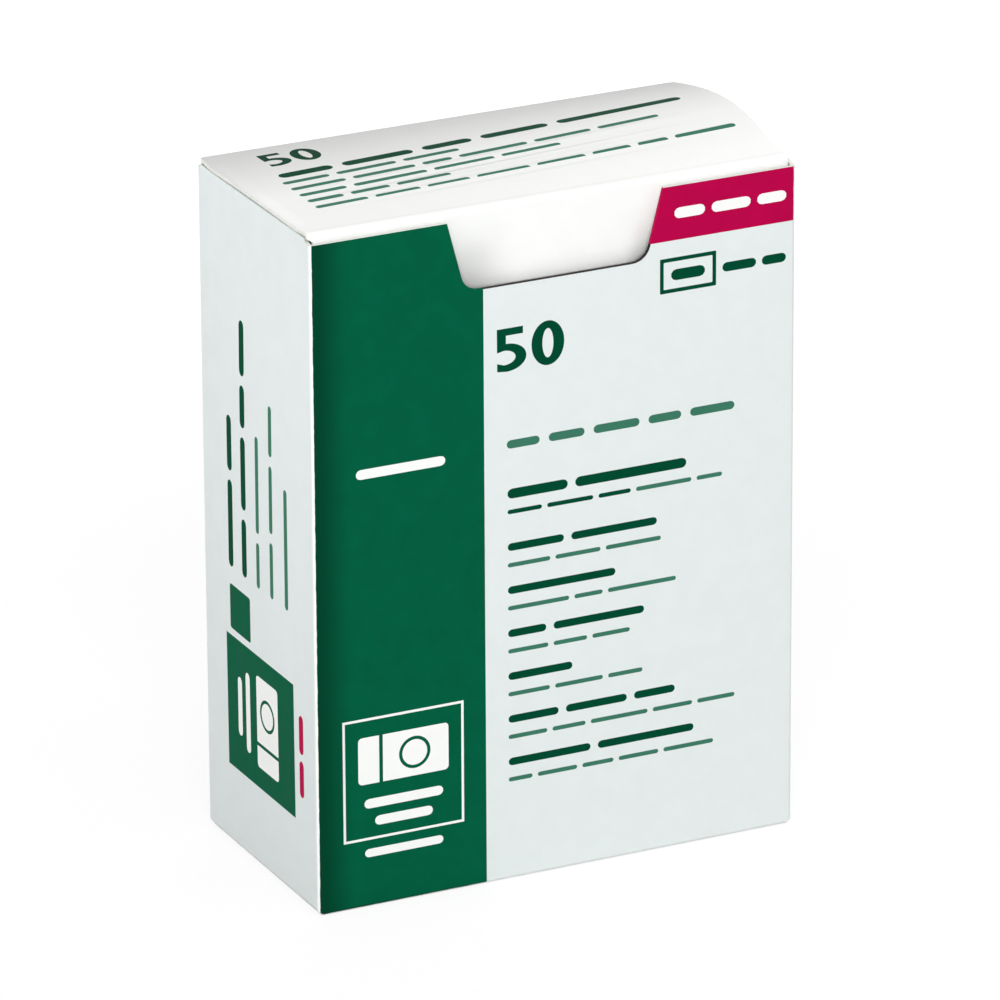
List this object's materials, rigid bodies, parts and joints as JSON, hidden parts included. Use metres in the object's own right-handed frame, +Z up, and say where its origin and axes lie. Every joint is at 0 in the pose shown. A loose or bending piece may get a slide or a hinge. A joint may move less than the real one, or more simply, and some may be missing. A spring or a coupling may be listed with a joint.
{
  "type": "box of microscope slides",
  "caption": "Tuck-top folding carton holding a film-wrapped row of glass microscope slides, with a hinged lid and a thumb notch in the front.",
  "frame": {"origin": "middle of the base, on the surface the carton stands on", "axes": "+Z up, along the slides' length; +X to the right, along the row of slides; +Y from the front panel with the thumb notch to the back panel that carries the lid"},
  "size_m": [0.0596, 0.0298, 0.0831],
  "materials": {
    "carton_board": "coated folding boxboard, printed, satin",
    "lid_board": "coated folding boxboard, printed, satin",
    "clear_film": "clear regenerated cellulose film",
    "slide_glass": "clear float glass with cut edges"
  },
  "bodies": {
    "carton": {"carton": "carton_board", "film_wrap": "clear_film", "slide_01": "slide_glass", "slide_02": "slide_glass", "slide_03": "slide_glass", "slide_04": "slide_glass", "slide_05": "slide_glass", "slide_06": "slide_glass", "slide_07": "slide_glass", "slide_08": "slide_glass", "slide_09": "slide_glass", "slide_10": "slide_glass", "slide_11": "slide_glass", "slide_12": "slide_glass", "slide_13": "slide_glass", "slide_14": "slide_glass", "slide_15": "slide_glass", "slide_16": "slide_glass", "slide_17": "slide_glass", "slide_18": "slide_glass", "slide_19": "slide_glass", "slide_20": "slide_glass", "slide_21": "slide_glass", "slide_22": "slide_glass", "slide_23": "slide_glass", "slide_24": "slide_glass", "slide_25": "slide_glass", "slide_26": "slide_glass", "slide_27": "slide_glass", "slide_28": "slide_glass", "slide_29": "slide_glass", "slide_30": "slide_glass", "slide_31": "slide_glass", "slide_32": "slide_glass", "slide_33": "slide_glass", "slide_34": "slide_glass", "slide_35": "slide_glass", "slide_36": "slide_glass", "slide_37": "slide_glass", "slide_38": "slide_glass", "slide_39": "slide_glass", "slide_40": "slide_glass", "slide_41": "slide_glass", "slide_42": "slide_glass", "slide_43": "slide_glass", "slide_44": "slide_glass", "slide_45": "slide_glass", "slide_46": "slide_glass", "slide_47": "slide_glass", "slide_48": "slide_glass", "slide_49": "slide_glass", "slide_50": "slide_glass"},
    "lid": {"lid": "lid_board"}
  },
  "joints": [
    {"name": "lid_hinge", "type": "hinge", "parent": "carton", "child": "lid", "pos_m": [0, 0.0149, 0.08058], "axis": [-1, 0, 0], "range_deg": [0, 110]}
  ]
}
